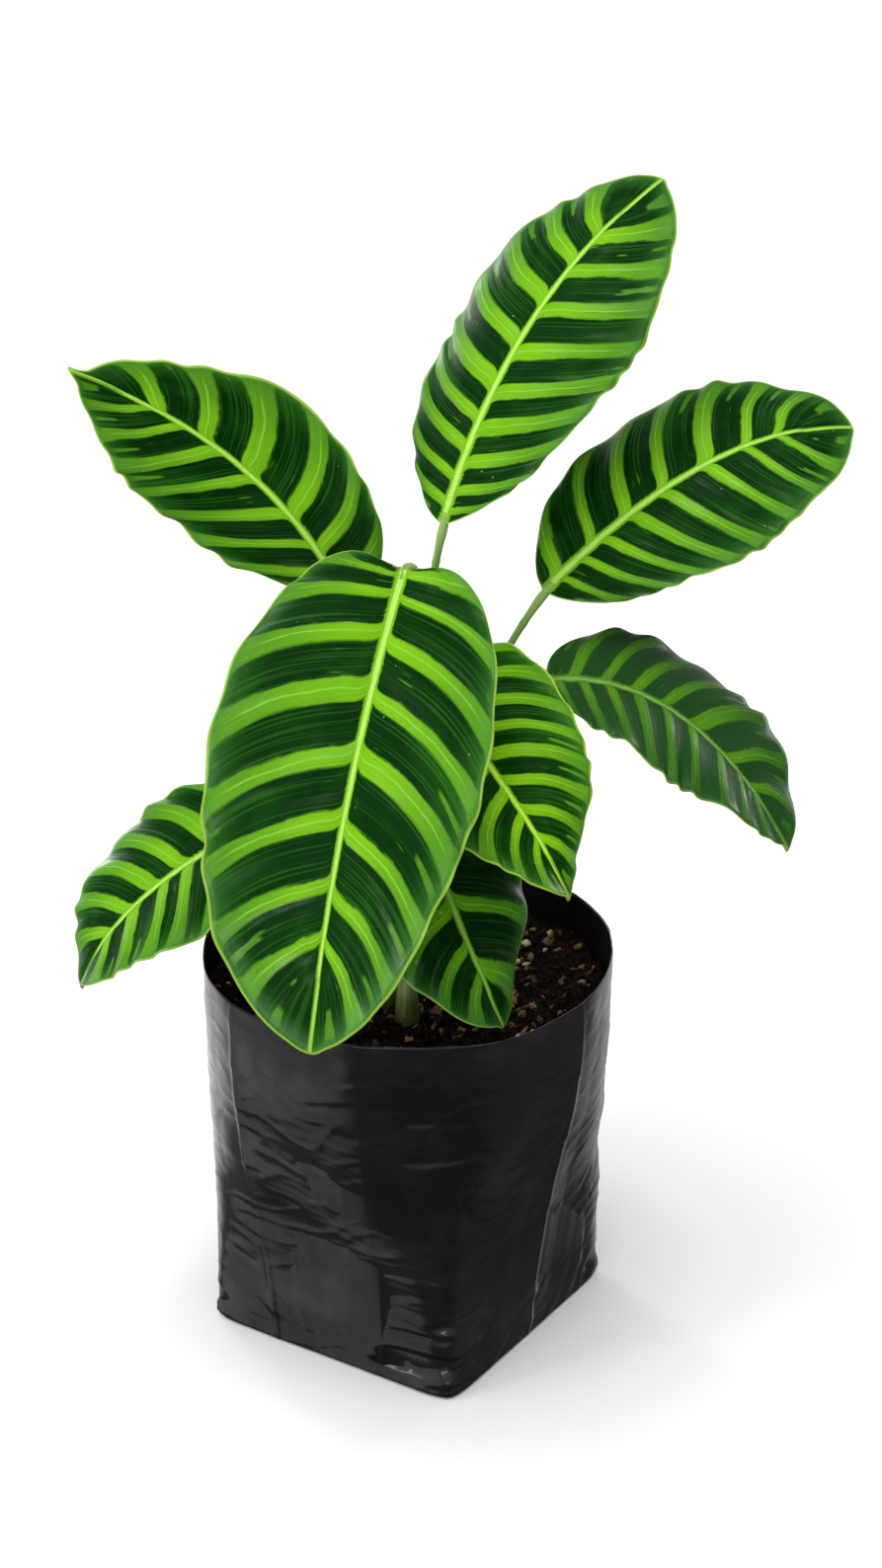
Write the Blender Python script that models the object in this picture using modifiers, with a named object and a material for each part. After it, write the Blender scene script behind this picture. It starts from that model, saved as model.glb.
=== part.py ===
"""Calathea zebrina in a square-bottomed nursery grow bag, at its real size.

World frame: metres, +Z up, origin at the centre of the bag's base, on the surface that it stands on.
-Y is the front of the plant.
"""
from collections import namedtuple
from math import cos, pi, radians, sin

import bmesh
import bpy
import numpy as np
from mathutils import Vector

MM = 0.001
GAP = 0.3 * MM

# Driving dimensions of the bag and of its filling
RIM_RADIUS = 100 * MM
BAG_HEIGHT = 200 * MM
BASE_HALF_DIAGONAL = 96.5 * MM
BASE_CORNER_ANGLE = radians(-78)
FILM = 0.8 * MM
BASE_EDGE = 3 * MM
SOIL_TOP = 178 * MM
SOIL_LUMP = 2.2 * MM
SOIL_CLEARANCE = 0.5 * MM

# Driving dimensions that every leaf and stalk shares
BLADE = 0.8 * MM
RIB_DEPTH = 3.0 * MM
RIB_HALF_WIDTH = 2.0 * MM
TIP_HALF_WIDTH = 1.0 * MM
VEIN_SWEEP = 0.6
WAVE_HEIGHT = 2.6 * MM
WAVES = 3.2
SHEATH_RADIUS = 3.7 * MM
SHEATH_LENGTH = 85 * MM
STALK_RADIUS = 2.1 * MM
STALK_END_RADIUS = 1.8 * MM
BURIED = 42 * MM
COLLAR = 7 * MM
HOLE_RADIUS = 4.4 * MM
PULVINUS = 5.5 * MM
JOINT = 2.5 * MM

BLADE_ROWS = 20
BLADE_COLUMNS = 8
STALK_POINTS = 12
RING_POINTS = 48
WALL_STEPS = 10

# One leaf: foot and rise steer its stalk; base, middle and tip are the points of its midrib's curve.
# Lengths are in millimetres and angles in degrees; rise is the stalk's first handle above the foot,
# lift how much the stalk comes from below where it meets the blade, and reach the length of that end.
Leaf = namedtuple("Leaf", "name foot rise lift reach base middle tip half_width near_base near_tip "
                          "roll_base roll_tip fold curl lobe")

LEAVES = [
    Leaf("top", foot=(6, 13), rise=(9, 25, 110), lift=0.3, reach=60,
         base=(17, 26, 413), middle=(47, 66, 510), tip=(121, 131, 548),
         half_width=55, near_base=0.68, near_tip=0.64, roll_base=-3, roll_tip=9, fold=4, curl=36, lobe=0.0),
    Leaf("upper_left", foot=(-15, 11), rise=(-2, 20, 90), lift=0.2, reach=60,
         base=(-29, 49, 363), middle=(-67, 51, 444), tip=(-151, 18, 489),
         half_width=53, near_base=0.62, near_tip=0.77, roll_base=-120, roll_tip=-120, fold=-2, curl=-8,
         lobe=0.026),
    Leaf("upper_right", foot=(16, 3), rise=(4, 4, 100), lift=0.3, reach=60,
         base=(66, 32, 376), middle=(142, 59, 450), tip=(212, 79, 442),
         half_width=52, near_base=0.60, near_tip=0.51, roll_base=33, roll_tip=21, fold=4, curl=27, lobe=0.0),
    Leaf("right", foot=(13, -10), rise=(3, 2, 90), lift=0.8, reach=45,
         base=(66, 1, 343), middle=(133, 2, 350), tip=(181, -28, 270),
         half_width=48, near_base=0.53, near_tip=0.74, roll_base=13, roll_tip=0, fold=18, curl=35, lobe=0.0),
    Leaf("front", foot=(-10, -19), rise=(-34, 46, 110), lift=0.9, reach=55,
         base=(-1, -12, 405), middle=(-30, -98, 332), tip=(-44, -133, 219),
         half_width=68, near_base=0.42, near_tip=0.55, roll_base=-8, roll_tip=6, fold=22, curl=16, lobe=0.03),
    Leaf("centre", foot=(-3, 1), rise=(2, 12, 80), lift=1.6, reach=40,
         base=(5, 13, 340), middle=(46, -83, 334), tip=(76, -84, 273),
         half_width=48, near_base=0.46, near_tip=0.71, roll_base=35, roll_tip=10, fold=14, curl=21, lobe=0.01),
    Leaf("low_centre", foot=(0, -33), rise=(0, 8, 45), lift=1.2, reach=35,
         base=(5, -7, 285), middle=(16, -70, 268), tip=(46, -77, 201),
         half_width=42, near_base=0.53, near_tip=0.63, roll_base=3, roll_tip=13, fold=5, curl=32, lobe=0.02),
    Leaf("low_left", foot=(-20, -24), rise=(-2, 2, 60), lift=1.0, reach=35,
         base=(-56, -21, 286), middle=(-136, -41, 256), tip=(-157, -38, 201),
         half_width=45, near_base=0.58, near_tip=0.72, roll_base=-16, roll_tip=-20, fold=17, curl=29, lobe=0.02),
]


def clear_scene():
    for old in list(bpy.data.objects):
        bpy.data.objects.remove(old, do_unlink=True)


def new_collection(name):
    collection = bpy.data.collections.new(name)
    bpy.context.scene.collection.children.link(collection)
    return collection


def finish_material(name, colour, roughness):
    material = bpy.data.materials.new(name)
    material.use_nodes = True
    shader = material.node_tree.nodes["Principled BSDF"]
    shader.inputs["Base Color"].default_value = (*colour, 1)
    shader.inputs["Roughness"].default_value = roughness
    shader.inputs["Metallic"].default_value = 0
    return material


def object_from_bmesh(name, bm, collection, material):
    mesh = bpy.data.meshes.new(name)
    bm.to_mesh(mesh)
    bm.free()
    mesh.shade_smooth()
    mesh.materials.append(material)
    piece = bpy.data.objects.new(name, mesh)
    collection.objects.link(piece)
    return piece


# Bag and soil share one section: round at the rim, square at the base
def section_radius(angle, height):
    """Distance of the film from the axis, a superellipse whose power grows towards the base."""
    up = height / BAG_HEIGHT
    power = 2 + 11 * (1 - up) ** 3
    corner = BASE_HALF_DIAGONAL + (RIM_RADIUS - BASE_HALF_DIAGONAL) * up
    flat = corner / 2 ** (0.5 - 1 / power)
    turn = angle - BASE_CORNER_ANGLE - pi / 4
    return flat / (abs(cos(turn)) ** power + abs(sin(turn)) ** power) ** (1 / power)


def fold_relief(angle, height):
    """How far creases and dents move the film out (+) or in (-)."""
    up = height / BAG_HEIGHT
    fade = min(1, 8 * up) * min(1, 12 * (1 - up) + 0.35)
    creases = 0
    for crease in (-146, -34, 34, 146):
        away = (angle - radians(crease) + pi) % (2 * pi) - pi
        creases += 1.5 * MM * max(0, 1 - abs(away) / radians(13))
    dents = 0
    for at_angle, at_height, depth in ((-84, 105, 2.2), (-70, 62, 2.0), (-112, 40, 1.8), (-40, 50, 1.6),
                                       (20, 90, 2.0), (75, 60, 2.0), (110, 120, 1.8), (170, 75, 2.0)):
        away = (angle - radians(at_angle) + pi) % (2 * pi) - pi
        reach = (away / radians(20)) ** 2 + ((height - at_height * MM) / (14 * MM)) ** 2
        dents += depth * MM * 2.718 ** -reach
    slack = 0.9 * MM * sin(5 * angle + 26 * up) * sin(pi * up)
    return fade * (creases - dents + slack)


def ring(angle_count, height, inset, shrink=1.0):
    points = []
    for k in range(angle_count):
        angle = 2 * pi * k / angle_count
        radius = (section_radius(angle, height) + fold_relief(angle, height) - inset) * shrink
        points.append((radius * cos(angle), radius * sin(angle), height))
    return points


def loft(bm, rings, closed_start=True, closed_end=False):
    """Quads between rings of equal count, listed from the underside up, with a fan at a closed end."""
    loops = [[bm.verts.new(p) for p in points] for points in rings]
    count = len(loops[0])
    for low, high in zip(loops, loops[1:]):
        for k in range(count):
            bm.faces.new((low[k], low[(k + 1) % count], high[(k + 1) % count], high[k]))
    for closed, loop, order in ((closed_start, loops[0], -1), (closed_end, loops[-1], 1)):
        if closed:
            middle = bm.verts.new(sum((v.co for v in loop), Vector()) / count)
            for k in range(count):
                bm.faces.new((middle, *(loop[k], loop[(k + 1) % count])[::order]))
    bmesh.ops.triangulate(bm, faces=bm.faces[:])


def wall_heights():
    """Levels that the film and the potting mix share, so that their facets stay parallel."""
    return [BASE_EDGE + (SOIL_TOP - BASE_EDGE) * k / WALL_STEPS for k in range(WALL_STEPS + 1)]


def make_bag(collection):
    flat = [ring(RING_POINTS, 0, 0, shrink) for shrink in (0.5, 0.97)]
    heights = wall_heights() + [(SOIL_TOP + BAG_HEIGHT) / 2, BAG_HEIGHT]
    bm = bmesh.new()
    loft(bm, flat + [ring(RING_POINTS, height, 0) for height in heights])
    bag = object_from_bmesh("bag", bm, collection, finish_material("bag_film", (0.012, 0.012, 0.013), 0.35))
    wall = bag.modifiers.new("film", "SOLIDIFY")
    wall.thickness = FILM
    wall.offset = -1
    wall.use_even_offset = True
    return bag


def soil_height(x, y):
    """Lumpy top of the potting mix, mounded a little towards the stems."""
    lumps = sin(210 * x + 1.3) * sin(190 * y + 0.4) + 0.6 * sin(470 * x + 330 * y) + 0.4 * sin(390 * y - 510 * x + 2)
    mound = 2 * MM * 2.718 ** (-(x * x + y * y) / (40 * MM) ** 2)
    return SOIL_TOP + mound + SOIL_LUMP * 0.5 * lumps


def make_soil(collection, holes):
    inset = FILM + SOIL_CLEARANCE
    floor = FILM + GAP
    under = [[(x, y, floor) for x, y, z in ring(RING_POINTS, 0, inset, 0.95)]]
    sides = [ring(RING_POINTS, height, inset) for height in [floor + BASE_EDGE] + wall_heights()[1:]]
    top = []
    for shrink in (0.94, 0.8, 0.64, 0.48, 0.32, 0.16):
        flat = ring(RING_POINTS, SOIL_TOP, inset, shrink)
        top.append([(x, y, soil_height(x, y)) for x, y, z in flat])
    bm = bmesh.new()
    loft(bm, under + sides + top, closed_end=True)
    soil = object_from_bmesh("soil", bm, collection, finish_material("potting_mix", (0.035, 0.02, 0.012), 0.95))
    for number, leaf in enumerate(LEAVES):
        x, y = (value * MM for value in leaf.foot)
        bpy.ops.mesh.primitive_cylinder_add(vertices=16, radius=HOLE_RADIUS, depth=2 * BURIED,
                                            location=(x, y, SOIL_TOP))
        cutter = bpy.context.object
        cutter.name = f"hole_{leaf.name}"
        cutter.hide_render = True
        cutter.display_type = "WIRE"
        for owner in list(cutter.users_collection):
            owner.objects.unlink(cutter)
        holes.objects.link(cutter)
        cut = soil.modifiers.new(f"hole_{number}", "BOOLEAN")
        cut.operation = "DIFFERENCE"
        cut.object = cutter
    return soil


# Midrib and blade of one leaf
def midrib_curve(leaf):
    """Points of the midrib's quadratic curve and their distance along it."""
    start, middle, end = (np.array(point) * MM for point in (leaf.base, leaf.middle, leaf.tip))
    u = np.linspace(0, 1, 200)[:, None]
    points = (1 - u) ** 2 * start + 2 * u * (1 - u) * middle + u * u * end
    along = np.concatenate([[0], np.cumsum(np.linalg.norm(np.diff(points, axis=0), axis=1))])
    return points, along


def midrib_frame(leaf, curve, distance):
    """Point, direction, side and face normal of the blade at a distance along its midrib."""
    points, along = curve
    length = along[-1]

    def at(value):
        return np.array([np.interp(value, along, points[:, axis]) for axis in range(3)])

    inside = min(max(distance, 0), length)
    step = 0.01 * length
    direction = at(min(inside + step, length)) - at(max(inside - step, 0))
    direction /= np.linalg.norm(direction)
    point = at(inside) + direction * (distance - inside)
    normal = np.array([0, 0, 1]) - direction[2] * direction
    normal /= np.linalg.norm(normal)
    side = np.cross(direction, normal)
    roll = radians(leaf.roll_base + (leaf.roll_tip - leaf.roll_base) * inside / length)
    return point, direction, side * cos(roll) - normal * sin(roll), normal * cos(roll) + side * sin(roll)


def blade_outline(leaf, along):
    """Half width of the blade where along runs from 0 at its base to 1 at its tip."""
    a, b = leaf.near_base, leaf.near_tip
    peak = (a / (a + b)) ** a * (b / (a + b)) ** b
    wide = leaf.half_width * MM * max(along, 0) ** a * max(1 - along, 0) ** b / peak
    neck = RIB_HALF_WIDTH + (TIP_HALF_WIDTH - RIB_HALF_WIDTH) * along
    return max(wide, neck)


def blade_point(leaf, curve, row, column):
    """A point of the upper face: row runs 0 to 1 along the midrib, column -1 to 1 along a side vein."""
    length = curve[1][-1]
    along = (1 - cos(pi * row)) / 2
    across = abs(column)
    half = blade_outline(leaf, along)
    lobe = leaf.lobe * (1 - along) ** 8 * (1 - 2.718 ** (-along / 0.01))
    vein_start = length * along * (1 - VEIN_SWEEP * (1 - along))
    vein_end = length * (along - lobe)
    point, _, side, normal = midrib_frame(leaf, curve, vein_start + (vein_end - vein_start) * across ** 1.25)
    fold = radians(leaf.fold)
    bend = radians(leaf.curl) / (leaf.half_width * MM)
    turned = fold - bend * half * across
    out = (sin(fold) - sin(turned)) / bend
    up = (cos(turned) - cos(fold)) / bend
    phase = 1.4 if column < 0 else 0
    up += WAVE_HEIGHT * across ** 2 * sin(2 * pi * WAVES * row + phase) * sin(pi * row)
    return point + side * (out if column > 0 else -out) + normal * up


def make_leaf(leaf, collection):
    curve = midrib_curve(leaf)
    bm = bmesh.new()
    bmesh.ops.create_grid(bm, x_segments=BLADE_COLUMNS, y_segments=BLADE_ROWS, size=1)
    ribs = []
    for vertex in bm.verts:
        column, row = vertex.co.x, (vertex.co.y + 1) / 2
        gather = 1 + 0.8 * sin(pi * row)
        column = abs(column) ** gather * (1 if column > 0 else -1)
        ribs.append(1 - 0.75 * row if abs(column) < 0.01 else 0)
        if row in (0, 1):
            ribs[-1] = 1 - 0.75 * row
        vertex.co = blade_point(leaf, curve, row, column)
    bmesh.ops.triangulate(bm, faces=bm.faces[:], quad_method="SHORT_EDGE")
    blade = object_from_bmesh(f"leaf_{leaf.name}", bm, collection,
                              finish_material(f"blade_{leaf.name}", (0.06, 0.2, 0.03), 0.35))
    group = blade.vertex_groups.new(name="rib")
    for index, weight in enumerate(ribs):
        group.add([index], weight, "REPLACE")
    solid = blade.modifiers.new("thickness", "SOLIDIFY")
    solid.thickness = RIB_DEPTH
    solid.offset = -1
    solid.vertex_group = group.name
    solid.thickness_vertex_group = BLADE / RIB_DEPTH
    return blade


# Stalk: a straight sheathed foot in the soil, a long arch, and the short joint that turns into the blade
def stalk_path(leaf):
    curve = midrib_curve(leaf)
    base, direction, _, normal = (Vector(v) for v in midrib_frame(leaf, curve, 0))
    seat = base - normal * RIB_DEPTH / 2
    joint = seat - direction * JOINT
    arrive = (direction + Vector((0, 0, leaf.lift))).normalized()
    neck = joint - arrive * PULVINUS
    foot = Vector((leaf.foot[0] * MM, leaf.foot[1] * MM, SOIL_TOP + COLLAR))
    handles = (foot, foot + Vector(leaf.rise) * MM, neck - arrive * leaf.reach * MM, neck)
    path = [foot - Vector((0, 0, BURIED + COLLAR - GAP))]
    for k in range(STALK_POINTS + 1):
        u = k / STALK_POINTS
        weights = ((1 - u) ** 3, 3 * u * (1 - u) ** 2, 3 * u * u * (1 - u), u ** 3)
        path.append(sum((handle * weight for handle, weight in zip(handles, weights)), Vector()))
    path += [joint, seat - direction * GAP]
    return path


def make_stalk(leaf, collection):
    path = stalk_path(leaf)
    tube = bpy.data.curves.new(f"stalk_{leaf.name}", "CURVE")
    tube.dimensions = "3D"
    tube.bevel_depth = MM
    tube.bevel_resolution = 2
    tube.use_fill_caps = True
    spline = tube.splines.new("POLY")
    spline.points.add(len(path) - 1)
    top = path[-1].z
    for point, place in zip(spline.points, path):
        sheath = max(0, 1 - max(0, place.z - SOIL_TOP) / SHEATH_LENGTH)
        thin = STALK_RADIUS + (STALK_END_RADIUS - STALK_RADIUS) * max(0, place.z - SOIL_TOP) / (top - SOIL_TOP)
        point.co = (*place, 1)
        point.radius = (thin + (SHEATH_RADIUS - STALK_RADIUS) * sheath ** 1.5) / MM
    tube.materials.append(finish_material(f"stem_{leaf.name}", (0.07, 0.15, 0.03), 0.45))
    stalk = bpy.data.objects.new(f"stalk_{leaf.name}", tube)
    collection.objects.link(stalk)
    return stalk


def main():
    clear_scene()
    plant = new_collection("calathea_zebrina")
    holes = new_collection("cutters")
    make_bag(plant)
    make_soil(plant, holes)
    for leaf in LEAVES:
        make_leaf(leaf, plant)
        make_stalk(leaf, plant)


main()
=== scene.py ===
# %% [markdown]
# A zebra-striped prayer plant stands in a black nursery grow bag. The solids of the bag, the potting mix,
# eight leaf blades and eight stalks come ready from the frame. This lesson dresses each of them: it
# repeats the shape of each piece with a much finer mesh, and paints it with materials made of nodes.
# It starts by loading the frame.

# %% The frame
from math import cos, pi, radians, sin

import bpy
import bmesh
import numpy as np
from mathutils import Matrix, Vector, noise


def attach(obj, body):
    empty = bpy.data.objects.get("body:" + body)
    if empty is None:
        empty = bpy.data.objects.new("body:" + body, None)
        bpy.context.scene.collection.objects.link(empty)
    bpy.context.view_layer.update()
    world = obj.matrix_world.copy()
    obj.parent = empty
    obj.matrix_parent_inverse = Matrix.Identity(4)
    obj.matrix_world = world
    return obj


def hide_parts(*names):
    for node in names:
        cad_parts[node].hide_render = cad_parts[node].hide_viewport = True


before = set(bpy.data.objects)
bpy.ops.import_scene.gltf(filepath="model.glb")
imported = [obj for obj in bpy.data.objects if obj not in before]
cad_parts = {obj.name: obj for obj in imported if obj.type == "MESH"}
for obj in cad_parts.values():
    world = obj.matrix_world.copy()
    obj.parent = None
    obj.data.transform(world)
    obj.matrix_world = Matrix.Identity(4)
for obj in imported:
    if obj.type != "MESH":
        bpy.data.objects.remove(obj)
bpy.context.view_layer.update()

MM = 0.001
for old in [thing for thing in bpy.data.objects if thing.type in ("CAMERA", "LIGHT")]:
    bpy.data.objects.remove(old)

# %% [markdown]
# The camera of the photograph looks down on the plant by about 26 degrees from 1.9 m away. Its focal length
# was estimated in pixels of the 893 x 1588 picture, and the lens follows from it: Blender's sensor is 36 mm
# on the picture's long side, so the lens has the same ratio to the sensor as the pixels to the height.

# %% The camera
PICTURE_HEIGHT_PX = 1588
FOCAL_PX = 4000
SENSOR = 36
CAMERA_PLACE = (0.0163, -1.700, 1.118)
LOOK_DOWN = 26
camera_data = bpy.data.cameras.new("camera")
camera_data.sensor_width = SENSOR
camera_data.lens = SENSOR * FOCAL_PX / PICTURE_HEIGHT_PX
camera = bpy.data.objects.new("camera", camera_data)
bpy.context.scene.collection.objects.link(camera)
camera.location = CAMERA_PLACE
camera.rotation_euler = (radians(90 - LOOK_DOWN), 0, 0)
bpy.context.scene.camera = camera
print("lens:", round(camera_data.lens, 1), "mm, looking down", LOOK_DOWN, "degrees")

# %% [markdown]
# Every finish below is a small sum of patterns. Writing those sums as Python expressions is far easier to
# read than a list of nodes, so one class wraps a socket: its operators add Math nodes, and one method adds
# any other node. Colours go through a Mix node, because a Math node would turn them grey. Numbers alone
# are worked out in Python, and only become part of the material where they meet a socket.

# %% Shader maths
MIX_SHARE, MIX_FIRST, MIX_SECOND, MIX_RESULT = 0, 6, 7, 2    # a Mix node's own sockets for colours


class Field:
    """A value that changes over a surface. Arithmetic on it adds Math nodes to its material."""

    def __init__(self, tree, socket=None):
        self.tree = tree
        self.socket = socket

    def node(self, kind, settings=None, inputs=None, output=0):
        """Adds a node: settings are set first, then each input gets a value or a link."""
        new = self.tree.nodes.new("ShaderNode" + kind)
        for name, value in (settings or {}).items():
            setattr(new, name, value)
        for name, value in (inputs or {}).items():
            if isinstance(value, Field):
                self.tree.links.new(value.socket, new.inputs[name])
            else:
                new.inputs[name].default_value = value
        return Field(self.tree, new.outputs[output])

    def math(self, operation, *values):
        return self.node("Math", {"operation": operation}, dict(enumerate(values)))

    def __add__(self, other):
        return self.math("ADD", self, other)

    def __sub__(self, other):
        return self.math("SUBTRACT", self, other)

    def __mul__(self, other):
        return self.math("MULTIPLY", self, other)

    def __rsub__(self, other):
        return self.math("SUBTRACT", other, self)

    __radd__ = __add__
    __rmul__ = __mul__

    def floor(self):
        return self.math("FLOOR", self)

    def from_whole(self):
        """Distance to the nearest whole number, from 0 to 0.5."""
        return self.math("PINGPONG", self, 0.5)

    def step(self, low, high):
        """0 below low and 1 above high, with a smooth change between; low may be the greater one."""
        return self.node("MapRange", {"interpolation_type": "SMOOTHSTEP"},
                         {"Value": self, "From Min": low, "From Max": high})

    def mix(self, first, second):
        """The first colour where this field is 0 and the second where it is 1."""
        first, second = [value if isinstance(value, Field) else (*value, 1) for value in (first, second)]
        return self.node("Mix", {"data_type": "RGBA"},
                         {MIX_SHARE: self, MIX_FIRST: first, MIX_SECOND: second}, output=MIX_RESULT)

    def tinted(self, tint):
        """This colour multiplied by another one."""
        return self.node("Mix", {"data_type": "RGBA", "blend_type": "MULTIPLY"},
                         {MIX_SHARE: 1.0, MIX_FIRST: self, MIX_SECOND: (*tint, 1)}, output=MIX_RESULT)

    def attribute(self, name):
        """A value that the mesh carries at its points."""
        return self.node("Attribute", {"attribute_name": name}, output="Fac")

    def vector(self, x, y, z):
        return self.node("CombineXYZ", inputs={"X": x, "Y": y, "Z": z})

    def noise(self, place, scale=1.0, detail=2.0, roughness=0.5):
        return self.node("TexNoise", inputs={"Vector": place, "Scale": scale, "Detail": detail,
                                             "Roughness": roughness})

    def bump(self, height, distance, strength):
        """A normal that is tilted as the height changes, as if by relief of that distance in metres."""
        return self.node("Bump", inputs={"Height": height, "Distance": distance, "Strength": strength})

    def place(self):
        """Where the surface is on the object, in metres."""
        return self.node("TexCoord", output="Object")


def new_material(name, **constants):
    """A material, a Field to start expressions from, and a function that links what was made."""
    material = bpy.data.materials.new(name)
    material.use_nodes = True
    tree = material.node_tree
    shader = tree.nodes["Principled BSDF"]
    for socket, value in constants.items():
        shader.inputs[socket.replace("_", " ")].default_value = value

    def connect(**fields):
        for socket, field in fields.items():
            tree.links.new(field.socket, shader.inputs[socket.replace("_", " ")])

    return material, Field(tree), connect


print("a field can:", [name for name in vars(Field) if not name.startswith("_")])

# %% [markdown]
# The plant stands in a pale studio with soft light from all sides. An even white sky would be the simplest
# way to make that, but every leaf and the whole bag would mirror it and turn grey. The sky is therefore
# dim, with a few broad round glows that stand in for white reflectors. The colours stay deep, and the
# glows show as soft strips and patches on the leaves and on the film.

# %% The sky
SKY_LIGHT = 0.12
GLOWS = {   # azimuth, height, inner angle and outer angle in degrees, strength
    "left": (-165, -12, 32, 41, 1.4),
    "back_left": (118, -10, 22, 42, 1.9),
    "back_right": (62, -12, 10, 34, 1.2),
    "front_right": (-15, -14, 22, 45, 0.3),
    "front": (-90, 36, 20, 64, 1.1),
    "overhead": (-100, 85, 20, 85, 0.5),
}


def glow(direction, azimuth, height, inner, outer, strength):
    """A round glow of the sky: full within the inner angle of its middle and gone beyond the outer one."""
    flat = cos(radians(height))
    axis = (flat * cos(radians(azimuth)), flat * sin(radians(azimuth)), sin(radians(height)))
    near = direction.node("VectorMath", {"operation": "DOT_PRODUCT"}, {0: direction, 1: axis},
                          output="Value")
    return near.step(cos(radians(outer)), cos(radians(inner))) * strength


def make_sky():
    sky = bpy.data.worlds.new("sky")
    sky.use_nodes = True
    direction = Field(sky.node_tree).node("TexCoord", output="Generated")
    first, *others = [glow(direction, *values) for values in GLOWS.values()]
    light = sum(others, first) + SKY_LIGHT
    background = sky.node_tree.nodes["Background"]
    background.inputs["Color"].default_value = (1, 1, 1, 1)
    sky.node_tree.links.new(light.socket, background.inputs["Strength"])
    bpy.context.scene.world = sky
    bpy.context.scene.view_settings.view_transform = "Standard"


make_sky()
print("glows of the sky:", list(GLOWS))

# %% [markdown]
# A very wide soft sun from overhead, a little to the left, gives the leaves their form and the floor its
# faint shadow. It could light the scene alone, but its gloss would lay a grey veil on the leaves, so it is
# hidden from mirror rays. Five weak soft boxes add the bright edges: tall ones at the left and behind for
# the bag's upright folds, a low wide one in front for its lower half, and one overhead for the leaves.

# %% The lamps
SUN_STRENGTH = 2.9
SUN_WIDTH = radians(72)
SUN_PLACE = (-0.40, -0.12, 2.2)
BAG_MIDDLE = (0, 0, 0.12)
LEAVES_MIDDLE = (0, 0, 0.3)
SOFT_BOXES = {   # place, target, width and height in metres, watts
    "left_box": ((-1.15, -0.66, 0.40), BAG_MIDDLE, 0.20, 0.8, 5),
    "back_left_box": ((-0.75, 1.2, 0.45), BAG_MIDDLE, 0.25, 0.8, 7),
    "back_right_box": ((1.0, 1.0, 0.45), BAG_MIDDLE, 0.25, 0.8, 5),
    "front_box": ((-0.25, -1.6, 0.40), BAG_MIDDLE, 1.2, 0.14, 7),
    "top_box": ((-0.3, -0.1, 1.9), LEAVES_MIDDLE, 0.7, 0.5, 7),
}


def aim(name, light, place, target):
    holder = bpy.data.objects.new(name, light)
    holder.location = place
    holder.rotation_euler = (Vector(target) - Vector(place)).to_track_quat("-Z", "Y").to_euler()
    bpy.context.scene.collection.objects.link(holder)
    return holder


def soft_box(name, place, target, width, height, watts):
    light = bpy.data.lights.new(name, "AREA")
    light.shape = "RECTANGLE"
    light.size = width
    light.size_y = height
    light.energy = watts
    aim(name, light, place, target)


sun = bpy.data.lights.new("soft_sun", "SUN")
sun.energy = SUN_STRENGTH
sun.angle = SUN_WIDTH
sun_holder = aim("soft_sun", sun, SUN_PLACE, (0, 0, 0))
sun_holder.visible_glossy = False
for name, values in SOFT_BOXES.items():
    soft_box(name, *values)
print("lights:", [light.name for light in bpy.data.lights])

# %% [markdown]
# Eight leaves stand on the plant, and no two are alike. Each could be modelled by hand, but one short list
# of numbers a leaf is easier to set against a photograph, and it is the same list as its solid has. It
# tells where the stalk stands, the three points that steer the midrib, the half width and how the outline
# narrows towards base and tip, and how the blade rolls, folds and curls about the midrib. Lengths are in
# millimetres and angles in degrees. Four more values are for the fine form alone. The lists minus and plus
# tell, for the two halves of the blade, where each light stripe leaves the midrib, from 0 at the base to 1
# at the tip. The sweep of each half is how far its side veins lean towards the tip, and the drip is how
# far the drawn-out point of the tip stands out.

# %% The leaves
USUAL_DRIP = 2.5


class Leaf:
    def __init__(self, name, **values):
        self.name = name
        self.drip = USUAL_DRIP
        self.__dict__.update(values)


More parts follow.
